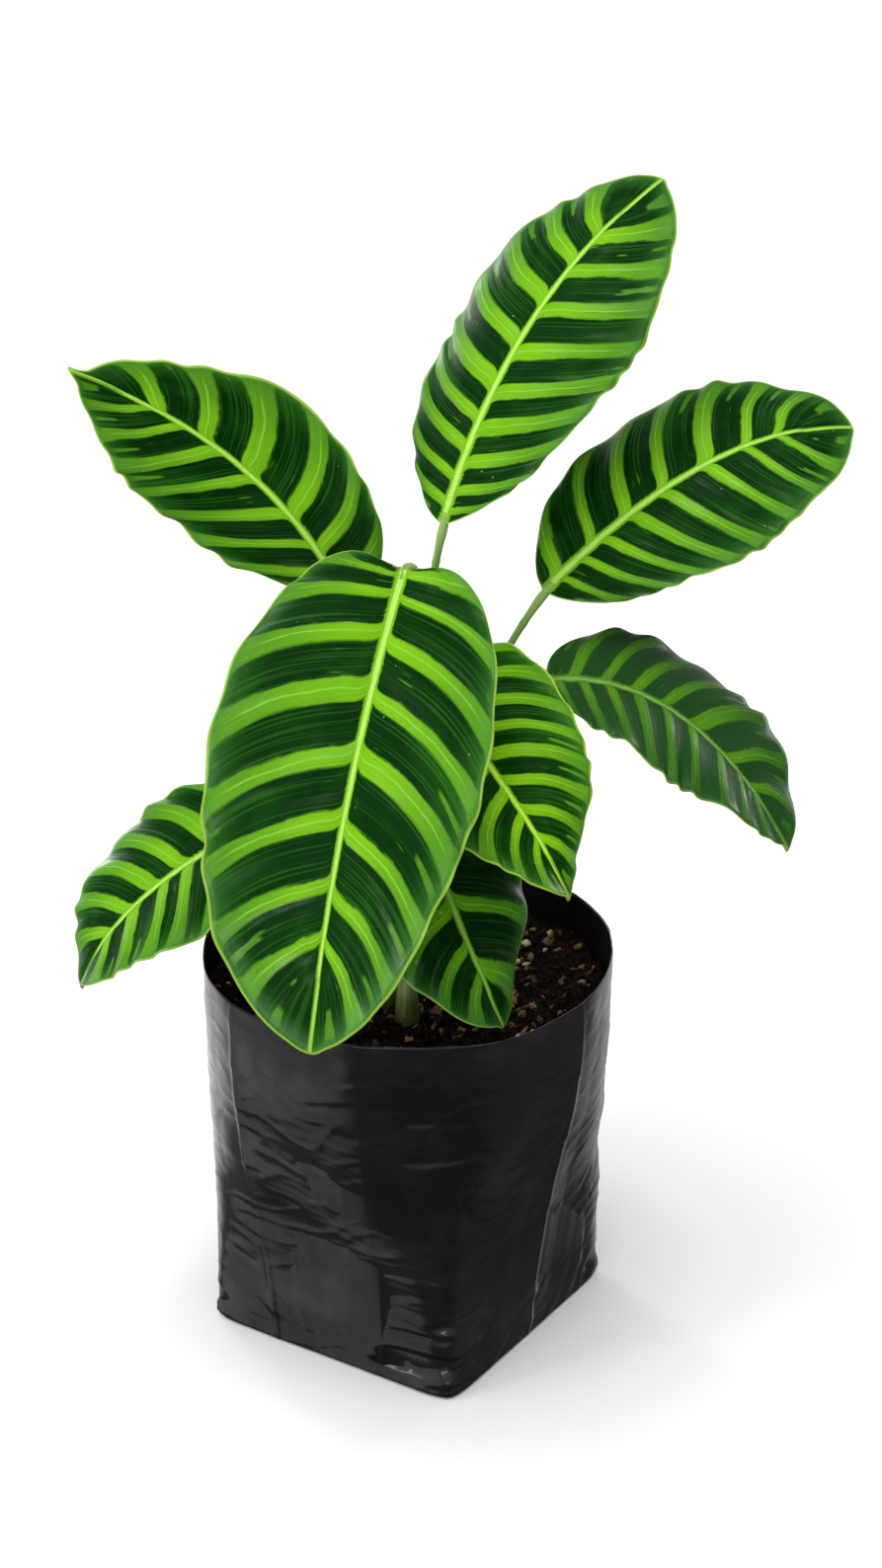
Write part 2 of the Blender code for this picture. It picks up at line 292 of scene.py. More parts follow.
LEAVES = [
    Leaf("top", foot=(6, 13), rise=(9, 25, 110), lift=0.3, reach=60,
         base=(17, 26, 413), middle=(47, 66, 510), tip=(121, 131, 548),
         half_width=55, near_base=0.68, near_tip=0.64, roll_base=-3, roll_tip=9, fold=4, curl=36, lobe=0.0,
         sweep=(0.56, 0.58),
         minus=[0.05, 0.11, 0.185, 0.255, 0.345, 0.46, 0.58, 0.70, 0.79],
         plus=[0.03, 0.075, 0.145, 0.23, 0.32, 0.43, 0.545, 0.665, 0.775]),
    Leaf("upper_left", foot=(-15, 11), rise=(-2, 20, 90), lift=0.2, reach=60,
         base=(-29, 49, 363), middle=(-67, 51, 444), tip=(-151, 18, 489),
         half_width=53, near_base=0.62, near_tip=0.77, roll_base=-120, roll_tip=-120, fold=-2, curl=-8,
         lobe=0.026, drip=5,
         sweep=(0.76, 0.80),
         minus=[0.09, 0.19, 0.30, 0.44, 0.565, 0.69, 0.79],
         plus=[0.06, 0.165, 0.285, 0.46, 0.615, 0.765]),
    Leaf("upper_right", foot=(16, 3), rise=(4, 4, 100), lift=0.3, reach=60,
         base=(66, 32, 376), middle=(142, 59, 450), tip=(212, 79, 442),
         half_width=52, near_base=0.60, near_tip=0.51, roll_base=33, roll_tip=21, fold=4, curl=27, lobe=0.0,
         sweep=(0.66, 0.68),
         minus=[0.06, 0.19, 0.31, 0.435, 0.575, 0.70, 0.79],
         plus=[0.06, 0.135, 0.215, 0.32, 0.425, 0.57, 0.69, 0.79]),
    Leaf("right", foot=(13, -10), rise=(3, 2, 90), lift=0.8, reach=45,
         base=(66, 1, 343), middle=(133, 2, 350), tip=(181, -28, 270),
         half_width=48, near_base=0.53, near_tip=0.74, roll_base=13, roll_tip=0, fold=18, curl=35, lobe=0.0,
         sweep=(0.62, 0.62),
         minus=[0.09, 0.19, 0.29, 0.39, 0.51, 0.67, 0.78],
         plus=[0.04, 0.115, 0.2, 0.3, 0.4, 0.5, 0.62, 0.72, 0.80]),
    Leaf("front", foot=(-10, -19), rise=(-34, 46, 110), lift=0.9, reach=55,
         base=(-1, -12, 405), middle=(-30, -98, 332), tip=(-44, -133, 219),
         half_width=68, near_base=0.42, near_tip=0.55, roll_base=-8, roll_tip=6, fold=22, curl=16,
         lobe=0.03,
         sweep=(0.84, 0.64),
         minus=[0.012, 0.063, 0.162, 0.28, 0.404, 0.556, 0.69, 0.785],
         plus=[0.018, 0.055, 0.141, 0.263, 0.404, 0.536, 0.67, 0.775]),
    Leaf("centre", foot=(-3, 1), rise=(2, 12, 80), lift=1.6, reach=40,
         base=(5, 13, 340), middle=(46, -83, 334), tip=(76, -84, 273),
         half_width=48, near_base=0.46, near_tip=0.71, roll_base=35, roll_tip=10, fold=14, curl=21,
         lobe=0.01,
         sweep=(0.90, 0.76),
         minus=[0.05, 0.15, 0.26, 0.37, 0.47, 0.58, 0.69, 0.79],
         plus=[0.1, 0.22, 0.36, 0.5, 0.62, 0.71, 0.79]),
    Leaf("low_centre", foot=(0, -33), rise=(0, 8, 45), lift=1.2, reach=35,
         base=(5, -7, 285), middle=(16, -70, 268), tip=(46, -77, 201),
         half_width=42, near_base=0.53, near_tip=0.63, roll_base=3, roll_tip=13, fold=5, curl=32, lobe=0.02,
         sweep=(0.72, 0.72),
         minus=[0.22, 0.50, 0.77],
         plus=[0.25, 0.52, 0.67, 0.79]),
    Leaf("low_left", foot=(-20, -24), rise=(-2, 2, 60), lift=1.0, reach=35,
         base=(-56, -21, 286), middle=(-136, -41, 256), tip=(-157, -38, 201),
         half_width=45, near_base=0.58, near_tip=0.72, roll_base=-16, roll_tip=-20, fold=17, curl=29,
         lobe=0.02,
         sweep=(0.70, 0.70),
         minus=[0.13, 0.27, 0.40, 0.49, 0.64, 0.77],
         plus=[0.12, 0.27, 0.42, 0.54, 0.67, 0.78]),
]
print("leaves:", [leaf.name for leaf in LEAVES])

# %% [markdown]
# The midrib is the leaf's backbone, and arches under the blade's weight. A Bezier curve object could carry
# the blade, but the solid's midrib is a plain quadratic curve, and repeating its formula keeps the two
# together. A blade needs a local frame all along it: the direction of the midrib, a side that points
# across the blade, and the blade's own normal. Working them out for whole arrays of distances at once with
# numpy keeps the fine meshes quick.

# %% The midrib and its frame
SPACE_UP = np.array([0.0, 0.0, 1.0])
MIDRIB_POINTS = 200
DIRECTION_STEP = 0.01


def unit(vectors):
    return vectors / np.maximum(np.linalg.norm(vectors, axis=-1, keepdims=True), 1e-12)


def midrib_curve(leaf):
    start, middle, end = (np.array(point) * MM for point in (leaf.base, leaf.middle, leaf.tip))
    u = np.linspace(0, 1, MIDRIB_POINTS)[:, None]
    points = (1 - u) ** 2 * start + 2 * u * (1 - u) * middle + u * u * end
    along = np.concatenate([[0], np.cumsum(np.linalg.norm(np.diff(points, axis=0), axis=1))])
    return points, along


def midrib_frame(leaf, curve, distance):
    """Points, directions, sides and normals of the blade at distances along its midrib."""
    points, along = curve
    length = along[-1]

    def at(value):
        return np.stack([np.interp(value, along, points[:, axis]) for axis in range(3)], -1)

    inside = np.clip(distance, 0, length)
    step = DIRECTION_STEP * length
    direction = unit(at(np.minimum(inside + step, length)) - at(np.maximum(inside - step, 0)))
    point = at(inside) + direction * (distance - inside)[..., None]
    normal = unit(SPACE_UP - direction[..., 2:3] * direction)
    side = np.cross(direction, normal)
    roll = np.radians(leaf.roll_base + (leaf.roll_tip - leaf.roll_base) * inside / length)[..., None]
    return (point, direction, side * np.cos(roll) - normal * np.sin(roll),
            normal * np.cos(roll) + side * np.sin(roll))


print("midribs in mm:", {leaf.name: round(midrib_curve(leaf)[1][-1] / MM) for leaf in LEAVES})

# %% [markdown]
# The blade's outline is an oval that runs out to a point, blunter at one end than at the other. A product
# of two powers gives that whole family of outlines with two numbers a leaf. Across it run the side veins,
# and every light stripe lies along one of them, so the stripes are counted where their veins leave the
# midrib: the count is a whole number on each stripe and a half between two of them.

# %% The outline and the stripe count
RIB_HALF_WIDTH = 2.0 * MM


def blade_outline(leaf, along):
    """Half width of the blade where along runs from 0 at its base to 1 at its tip."""
    a, b = leaf.near_base, leaf.near_tip
    peak = (a / (a + b)) ** a * (b / (a + b)) ** b
    wide = leaf.half_width * MM * along ** a * (1 - along) ** b / peak
    return np.maximum(wide, RIB_HALF_WIDTH * (1 - along))


def stripe_count(positions, share):
    """Counts light stripes along the midrib: a whole number where each stripe leaves it."""
    before = 2 * positions[0] - positions[1]
    after = 2 * positions[-1] - positions[-2]
    return np.interp(share, [before, *positions, after], np.arange(-1.0, len(positions) + 1))


print("stripes on the two halves:", {leaf.name: (len(leaf.minus), len(leaf.plus)) for leaf in LEAVES})

# %% [markdown]
# The blade is a grid whose rows follow the side veins, from the midrib out to the margin. That way the
# stripes, the pleats between the veins and the waves of the margin are all plain functions of the row, and
# none of them needs an image. The grid is bent first like the solid: swept along the midrib, folded into a
# shallow V, curled, and waved at the margin. Then come the fine forms, which the solid leaves out: a pleat
# for each stripe, a scalloped and ruffled margin, a shallow groove over the midrib, and the drawn-out point
# at the tip.

# %% The blade's grid
BLADE_ROWS = 208
BLADE_COLUMNS = 56
GATHER = 0.6              # draws the columns towards the midrib where the blade is wide
MARGIN_BEND = 0.45        # how much of a side vein's sweep comes near the margin
TIP_SWEEP = 0.15          # how far the last veins lean towards the tip
OTHER_HALF = 40           # added to the stripe count, so that the halves have noise of their own
SCALLOP = 0.011
LOBE_START = 0.01
DRIP_START = 0.985
WAVE_HEIGHT = 2.6 * MM
WAVES = 3.2
WAVE_SHIFT = 1.4
PLEAT = 0.75 * MM
PLEAT_START = 0.15
RUFFLE = 1.15 * MM
RIB_TAPER = 0.62
RIB_RISE = 0.45 * MM
GROOVE = 0.3 * MM
HOOK = 0.30               # stripes bend back towards the base where they meet the midrib


def blade_grid(leaf):
    """Upper face of the blade and the values that its finish needs, as grids of rows and columns."""
    curve = midrib_curve(leaf)
    length = curve[1][-1]
    row, column = np.meshgrid(np.linspace(0, 1, BLADE_ROWS + 1),
                              np.linspace(-1, 1, BLADE_COLUMNS + 1), indexing="ij")
    gather = 1 + GATHER * np.sin(pi * row)
    column = np.sign(column) * np.abs(column) ** gather
    along = np.clip((1 - np.cos(pi * row)) / 2, 0, 1)
    across = np.abs(column)
    sweep = np.where(column < 0, *leaf.sweep)
    share = along * (1 - sweep * (1 - along)) - TIP_SWEEP * along ** 6
    other_half = stripe_count(leaf.plus, share) + OTHER_HALF
    band = np.where(column < 0, stripe_count(leaf.minus, share), other_half)
    scallop = 1 + SCALLOP * across ** 3 * np.cos(2 * pi * band) * np.sin(pi * row)
    half = blade_outline(leaf, along) * scallop
    lobe = leaf.lobe * (1 - along) ** 8 * (1 - np.exp(-along / LOBE_START))
    drip = leaf.drip * MM * np.clip((along - DRIP_START) / (1 - DRIP_START), 0, 1) ** 2
    bent = across * (1 - MARGIN_BEND) + MARGIN_BEND * across ** 3
    distance = length * (share + (along - lobe - share) * bent) + drip
    point, direction, side, normal = midrib_frame(leaf, curve, distance)
    fold = radians(leaf.fold)
    bend = radians(leaf.curl) / (leaf.half_width * MM)
    turned = fold - bend * half * across
    out = (sin(fold) - np.sin(turned)) / bend
    up = (np.cos(turned) - cos(fold)) / bend
    inner = np.sin(pi * row)
    phase = np.where(column < 0, WAVE_SHIFT, 0)
    up += WAVE_HEIGHT * across ** 2 * np.sin(2 * pi * WAVES * row + phase) * inner
    pleat = PLEAT * np.cos(2 * pi * band) * np.clip(across / PLEAT_START, 0, 1)
    up += pleat * (1 - 0.5 * across) * inner ** 0.5
    up += RUFFLE * across ** 5 * np.sin(2 * pi * band + 1.1 + 2.3 * np.sin(1.7 * band)) * inner
    rib = half * across / (RIB_HALF_WIDTH * (1 - RIB_TAPER * along))
    band = band + HOOK * np.exp(-rib / 1.1)
    up += RIB_RISE * np.exp(-rib ** 2) * (1 - along) - GROOVE * np.exp(-(rib / 2.2) ** 2)
    up -= drip * 0.5
    surface = point + side * (np.sign(column) * out)[..., None] + normal * up[..., None]
    return surface, normal, dict(band=band, across=across, rib=rib, along=along)


print("points on the upper face of a blade:", (BLADE_ROWS + 1) * (BLADE_COLUMNS + 1))

# %% [markdown]
# A real blade is thin, but it has two faces of different colours and an edge, and a thick round rib under
# the midrib. A Solidify modifier could thicken the grid evenly. Here the underside is a second grid,
# set off from the first along its normals by a depth that swells under the midrib, and a strip of quads
# joins the two round the margin. The mesh carries the stripe count and the distances from the midrib at
# its points, which is all that the finish needs.

# %% Grids and meshes
def grid_normals(surface, toward):
    across_rows = np.gradient(surface, axis=0)
    across_columns = np.gradient(surface, axis=1)
    normals = unit(np.cross(across_columns, across_rows))
    return normals * np.sign((normals * toward).sum(-1, keepdims=True))


def grid_faces(rows, columns, offset=0, flip=False):
    """Quads of a grid of rows by columns cells, whose points are numbered row by row."""
    r, c = np.meshgrid(np.arange(rows), np.arange(columns), indexing="ij")
    corner = (r * (columns + 1) + c + offset).reshape(-1)
    quads = np.stack([corner, corner + 1, corner + columns + 2, corner + columns + 1], 1)
    return quads[:, ::-1] if flip else quads


def mesh_object(name, points, quads, materials, slots=None, attributes=None, smooth=True):
    """A new object in the scene; attributes are values that its mesh carries at each point."""
    quads = quads.tolist() if isinstance(quads, np.ndarray) else quads
    mesh = bpy.data.meshes.new(name)
    mesh.from_pydata(points.reshape(-1, 3).tolist(), [], quads)
    for material in materials:
        mesh.materials.append(material)
    if slots is not None:
        mesh.polygons.foreach_set("material_index", np.asarray(slots, dtype=np.int32))
    for key, values in (attributes or {}).items():
        layer = mesh.attributes.new(key, "FLOAT", "POINT")
        layer.data.foreach_set("value", np.asarray(values, dtype=np.float32).reshape(-1))
    if smooth:
        mesh.shade_smooth()
    mesh.update()
    piece = bpy.data.objects.new(name, mesh)
    bpy.context.scene.collection.objects.link(piece)
    return piece


print("quads on one face of a blade:", len(grid_faces(BLADE_ROWS, BLADE_COLUMNS)))

# %% One blade
BLADE_THICKNESS = 0.55 * MM
RIB_DEPTH = 3.0 * MM
RIB_ROUNDNESS = 0.8
RIB_FADE = 0.75


def make_blade(leaf, materials):
    top, toward, values = blade_grid(leaf)
    normals = grid_normals(top, toward)
    rib_below = np.exp(-(values["rib"] / RIB_ROUNDNESS) ** 2) * (1 - RIB_FADE * values["along"])
    depth = BLADE_THICKNESS + (RIB_DEPTH - BLADE_THICKNESS) * rib_below
    low = top - normals * depth[..., None]
    rows, columns = BLADE_ROWS, BLADE_COLUMNS
    count = (rows + 1) * (columns + 1)
    number = np.arange(count).reshape(rows + 1, columns + 1)
    loop = np.concatenate([number[0, :-1], number[:-1, -1], number[-1, :0:-1], number[:0:-1, 0]])
    following = np.roll(loop, -1)
    edge = np.stack([following, loop, loop + count, following + count], 1)
    upward = grid_faces(rows, columns)
    corners = top.reshape(-1, 3)[upward[len(upward) // 2]]
    facing = np.cross(corners[1] - corners[0], corners[2] - corners[1]) @ toward[rows // 2, columns // 2]
    flip = facing < 0
    quads = np.concatenate([grid_faces(rows, columns, 0, flip), grid_faces(rows, columns, count, not flip),
                            edge[:, ::-1] if flip else edge])
    slots = [0] * len(upward) + [1] * len(upward) + [2] * len(edge)
    attributes = {key: np.concatenate([grid, grid]) for key, grid in values.items()}
    points = np.concatenate([top, low])
    blade = mesh_object(f"blade_{leaf.name}", points, quads, materials, slots, attributes)
    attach(blade, "root")
    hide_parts(f"leaf_{leaf.name}")
    return blade


print("blade in mm: margin", BLADE_THICKNESS / MM, "and midrib", RIB_DEPTH / MM)

# %% [markdown]
# The greens of a zebra leaf run from a yellowish light stripe to a band that is nearly black. They could be
# picked off a picture, but a material has to hold the leaf's own colour without the light on it, so each
# is set as linear red, green and blue and then judged by its render.

# %% Leaf colours
LIGHT_GREEN = (0.105, 0.275, 0.0045)
YOUNG_GREEN = (0.066, 0.205, 0.0045)
FADED_GREEN = (0.036, 0.130, 0.0075)
MIDDLE_GREEN = (0.026, 0.110, 0.009)
DARK_GREEN = (0.0008, 0.0140, 0.0010)
VEINED_GREEN = (0.013, 0.085, 0.0045)
PALE_THREAD = (0.19, 0.38, 0.035)
RIB_GREEN = (0.27, 0.46, 0.075)
RIB_SIDE = (0.105, 0.27, 0.008)
EDGE_YELLOW = (0.17, 0.29, 0.03)
SPECK_GREEN = (0.30, 0.38, 0.28)
print("green of a stripe over green of a band:", round(LIGHT_GREEN[1] / DARK_GREEN[1]))

# %% [markdown]
# The upper face of the leaf carries the zebra pattern. A light stripe lies on every whole number of the
# stripe count, and the dark bands between them run almost to the margin, where the blade is a middle green
# with a thin yellow edge. Fine parallel veins show in the dark bands, a pale thread runs down each light
# stripe, and here and there a light wedge cuts in from the margin. An image could carry all that, but it is
# sharper at any distance when it is worked out from the stripe count and the distance from the midrib. The
# waxy shine is a coat that comes and goes along the veins.

# %% The zebra pattern
STRIPE_EDGE = (-0.030, 0.034)


def zebra(start, band, across, rib, stripe):
    """How dark the blade is, from 0 on a light stripe to 1 in a dark band."""
    wobble = start.noise(start.vector(band * 1.6, across * 3.2, 0), detail=3) - 0.5
    stripes = (band + wobble * 0.13).from_whole()
    chance = start.node("TexWhiteNoise", {"noise_dimensions": "1D"}, {"W": band.floor() * 1.37 + 3})
    thick = start.node("TexWhiteNoise", {"noise_dimensions": "1D"}, {"W": (band + 0.5).floor() * 0.77})
    ragged = start.noise(start.vector(band * 34, across * 2.6, 9), detail=2) - 0.5
    taper = across.step(0.60, 1.0) * 0.05 + across.step(0.93, 1.0) * 0.08
    half_width = stripe + thick * 0.07 + wobble * 0.07 + ragged * 0.08 + taper
    dark = (stripes - half_width).step(*STRIPE_EDGE)
    feather = start.noise(start.vector(band * 15, 0, 2), detail=1)
    dark = dark * (rib + feather * 2.4).step(2.0, 3.2)
    depth = across - 0.60 - chance * 0.42
    sides = (0.5 - stripes - 0.02 - depth * 0.16).step(0.03, 0)
    wedge = depth.step(0, 0.06) * sides * across.step(1.0, 0.9)
    patches = start.noise(start.vector(band * 8, across * 2.4, 7), detail=1).step(0.70, 0.78)
    return dark * (1 - wedge * 0.75) * (1 - patches * 0.6), stripes


print("soft edge of a stripe, where two stripes are 1 apart:", STRIPE_EDGE)

# %% The upper face
def leaf_top_material(name, stripe, tint=None, dark_green=DARK_GREEN):
    """The stripe is the usual half width of a light stripe, where two stripes are 1 apart."""
    material, start, connect = new_material(name, Specular_IOR_Level=0.03, Coat_Roughness=0.26)
    band, across, rib = start.attribute("band"), start.attribute("across"), start.attribute("rib")
    dark, stripes = zebra(start, band, across, rib, stripe)
    lines = start.noise(start.vector(band * 22, across * 0.7, 2), detail=1).step(0.50, 0.68)
    soft = start.noise(start.vector(band * 1.1, across * 2.2, 4), detail=3)
    thread = stripes.step(0.026, 0.008) * across.step(0.96, 0.7)
    light = across.step(0.12, 0.98).mix(LIGHT_GREEN, FADED_GREEN)
    light = (soft.step(0.38, 0.72) * 0.5).mix(light, YOUNG_GREEN)
    light = (lines * 0.35).mix(light, YOUNG_GREEN)
    light = (thread * 0.45).mix(light, PALE_THREAD)
    deep = (lines * 0.42 + soft.step(0.45, 0.8) * 0.25).mix(dark_green, VEINED_GREEN)
    deep = (across.step(0.70, 0.98) * 0.45).mix(deep, VEINED_GREEN)
    colour = dark.mix(light, deep)
    colour = (across.step(0.91, 0.98) * 0.5).mix(colour, MIDDLE_GREEN)
    colour = across.step(0.975, 0.993).mix(colour, EDGE_YELLOW)
    colour = rib.step(1.9, 1.1).mix(colour, RIB_SIDE)
    colour = rib.step(1.0, 0.5).mix(colour, RIB_GREEN)
    # the tint is a leaf's own hue; for the upper left leaf it is painted light, and for the lowest and the
    # oldest it is painted shade
    if tint:
        colour = colour.tinted(tint)
    specks = start.noise(start.place(), scale=330, detail=1).step(0.80, 0.83)
    colour = (specks * 0.5).mix(colour, SPECK_GREEN)
    bump = start.bump(lines * 0.5 + soft * 0.6 + thread * 0.5, 0.35 * MM, 0.7)
    sheen = start.noise(start.vector(band * 3.2, across * 1.6, 11), detail=2)
    connect(Base_Color=colour, Roughness=0.34 + sheen * 0.2, Normal=bump,
            Coat_Weight=sheen.step(0.52, 0.76) * 0.32 + across.step(0.80, 0.97) * 0.2)
    return material


top_face = leaf_top_material("leaf_upper_face", 0.172)
print("nodes of the upper face:", len(top_face.node_tree.nodes))

# %% [markdown]
# The underside of the leaf is a muted purple brown, with the same stripes showing through paler, and a
# green rib. It has no coat and hardly shines, because the real one is matt. The thin edge between the faces
# is yellow with short dry brown stretches. Both are small sums of the same values, since a second set of
# patterns would not meet the first at the margin.

# %% The underside and the edge
UNDER_PALE = (0.115, 0.150, 0.060)
UNDER_PURPLE = (0.075, 0.060, 0.050)
UNDER_VEIN = (0.16, 0.14, 0.09)
UNDER_RIB = (0.20, 0.32, 0.09)
EDGE_DRY = (0.25, 0.17, 0.05)


def leaf_under_material():
    material, start, connect = new_material("leaf_underside", Specular_IOR_Level=0.3)
    band, across, rib = start.attribute("band"), start.attribute("across"), start.attribute("rib")
    stripes = band.from_whole()
    soft = start.noise(start.vector(band * 1.3, across * 2.5, 5), detail=3)
    dark = (stripes + soft * 0.15).step(0.22, 0.34) * across.step(0.97, 0.8)
    colour = dark.mix(UNDER_PALE, UNDER_PURPLE)
    lines = start.noise(start.vector(band * 16, across * 0.7, 2), detail=1).step(0.5, 0.75)
    colour = (lines * 0.3).mix(colour, UNDER_VEIN)
    colour = rib.step(1.3, 0.6).mix(colour, UNDER_RIB)
    bump = start.bump(lines * 0.5 + soft * 0.4, 0.3 * MM, 0.7)
    connect(Base_Color=colour, Roughness=0.5 + soft * 0.2, Normal=bump)
    return material


def leaf_edge_material():
    material, start, connect = new_material("leaf_edge", Roughness=0.5, Specular_IOR_Level=0.2)
    band = start.attribute("band")
    dry = start.noise(start.vector(band * 1.5, 0, 0), detail=2).step(0.55, 0.7)
    connect(Base_Color=(dry * 0.5).mix(EDGE_YELLOW, EDGE_DRY))
    return material


under_face, blade_edge = leaf_under_material(), leaf_edge_material()
print("materials:", under_face.name, blade_edge.name)

# %% [markdown]
# The leaves differ in age and in how they face the light, and some of that light is painted into their
# colour. The big ones are crisp, the front and upper right ones have narrow stripes, and the youngest is
# yellowish. The upper left leaf faces away from the sun and carries painted light that brightens it. The
# lowest leaf carries painted shade, as if in the shadow of the front leaf. The oldest is dull and bluish,
# and painted shade darkens it further. One material for all would be quicker, but six versions of it, with
# their own stripe widths and tints, come much closer to a living plant. Each blade is then built with its
# upper face, underside and edge.

# %% Making the blades
narrow_face = leaf_top_material("leaf_upper_face_narrow", 0.122)
# painted light: the upper left leaf's face is brightened by a fifth, as if it were better lit
painted_light_face = leaf_top_material("leaf_upper_face_bright", 0.135, (1.22, 1.22, 1.0))
young_face = leaf_top_material("leaf_upper_face_young", 0.165, (1.42, 1.30, 0.70))
# painted shade: the lowest leaf's face is darkened, standing in for the shadow of the front leaf
painted_shade_face = leaf_top_material("leaf_upper_face_low", 0.105, (0.62, 0.74, 0.62))
# the oldest leaf is muted and bluish, and its face also carries painted shade that darkens it
old_painted_shade_face = leaf_top_material("leaf_upper_face_old", 0.14, (0.45, 0.52, 0.72), (0.020, 0.066, 0.011))
faces = {"top": top_face, "low_left": top_face, "front": narrow_face, "upper_right": narrow_face,
         "upper_left": painted_light_face, "centre": young_face, "low_centre": painted_shade_face, "right": old_painted_shade_face}
for leaf in LEAVES:
    piece = make_blade(leaf, [faces[leaf.name], under_face, blade_edge])
    print(piece.name, "quads:", len(piece.data.polygons),
          "length mm:", round(midrib_curve(leaf)[1][-1] / MM))

# %% [markdown]
# A stalk rises out of the potting mix, leans outwards and arrives under its blade through a short thick
# joint, which turns the leaf to the light. Its path is the solid's own: a cubic curve between foot and
# neck, with straight pieces below and above. The corners between them are rounded by a moving average,
# which is simpler than matching curves and keeps the stalk where the solid is.

# %% The path of a stalk
SOIL_TOP = 178 * MM
COLLAR = 7 * MM
PULVINUS = 5.5 * MM
JOINT = 2.5 * MM
CURVE_STEPS = 40
ROUNDINGS = 6


def stalk_path(leaf):
    """Points from just under the soil to just inside the blade's rib."""
    base, direction, _, normal = (Vector(v[0]) for v in midrib_frame(leaf, midrib_curve(leaf), np.zeros(1)))
    seat = base - normal * RIB_DEPTH / 2
    joint = seat - direction * JOINT
    arrive = (direction + Vector((0, 0, leaf.lift))).normalized()
    neck = joint - arrive * PULVINUS
    foot = Vector((leaf.foot[0] * MM, leaf.foot[1] * MM, SOIL_TOP + COLLAR))
    handles = (foot, foot + Vector(leaf.rise) * MM, neck - arrive * leaf.reach * MM, neck)
    path = [foot - Vector((0, 0, 3 * COLLAR)), foot - Vector((0, 0, COLLAR))]
    for u in np.linspace(0, 1, CURVE_STEPS):
        weights = ((1 - u) ** 3, 3 * u * (1 - u) ** 2, 3 * u * u * (1 - u), u ** 3)
        path.append(sum((handle * weight for handle, weight in zip(handles, weights)), Vector()))
    inside_rib = seat + direction * 5 * MM + normal * 0.4 * MM
    path += [joint, seat, inside_rib]
    return np.array([tuple(p) for p in path])


def resample(path, count):
    """Even points along the path, with its corners rounded by a short moving average."""
    along = np.concatenate([[0], np.cumsum(np.linalg.norm(np.diff(path, axis=0), axis=1))])
    even = np.linspace(0, along[-1], count)
    points = np.stack([np.interp(even, along, path[:, axis]) for axis in range(3)], 1)
    for _ in range(ROUNDINGS):
        points[1:-1] = (points[:-2] + 2 * points[1:-1] + points[2:]) / 4
    return points, even


print("points of a stalk's path:", len(stalk_path(LEAVES[0])))

# %% [markdown]
# The stem is round, but at its foot it opens into a ribbed sheath that wraps the younger stalks. A curve
# with a bevel would be the quick way, but its section keeps one shape all along. A ring swept along the
# path lets the radius change with the angle as well, which is what makes the ribs and the open lap.

# %% Swept rings
STALK_RINGS = 110
STALK_SIDES = 28
FIRST_SIDE = (0.3, 1, 0.1)


def sweep(points, radius):
    """A grid of rings round the points; radius takes the ring's number and the angles."""
    directions = unit(np.gradient(points, axis=0))
    side = unit(np.cross(directions[0], FIRST_SIDE))
    angles = np.linspace(0, 2 * pi, STALK_SIDES, endpoint=False)
    rings = []
    for number, (point, direction) in enumerate(zip(points, directions)):
        side = unit(side - direction * (side @ direction))
        other = np.cross(direction, side)
        r = radius(number, angles)
        rings.append(point + np.outer(r * np.cos(angles), side) + np.outer(r * np.sin(angles), other))
    return np.array(rings)


def ring_faces(rings, sides):
    """Quads between rings of points, and one many-sided face at each end."""
    faces = []
    for r in range(rings - 1):
        for k in range(sides):
            after = (k + 1) % sides
            faces.append((r * sides + k, r * sides + after, (r + 1) * sides + after, (r + 1) * sides + k))
    faces.append(tuple(range(sides))[::-1])
    faces.append(tuple((rings - 1) * sides + k for k in range(sides)))
    return faces


print("faces of a stalk:", len(ring_faces(STALK_RINGS, STALK_SIDES)))

# %% One stalk
STALK_RADIUS = 2.1 * MM
STALK_END_RADIUS = 1.8 * MM
SHEATH_RADIUS = 3.7 * MM
THICK_SHEATHS = {"low_centre": 5.6 * MM, "front": 4.7 * MM, "low_left": 4.7 * MM}
SHEATH_LENGTH = 85 * MM
RIBS = 5
RIB_HEIGHT = 0.05
LAP = 0.35 * MM
LAP_WIDTH = 3.6
SWELL = dict(height=0.55 * MM, before_end=9 * MM, reach=7 * MM)
NODE_RING = dict(height=0.25 * MM, before_end=24 * MM, reach=1.6 * MM)


def bulge(from_end, height, before_end, reach):
    """A round rise of the stalk at a distance before its upper end."""
    return height * np.exp(-((from_end - before_end) / reach) ** 2)


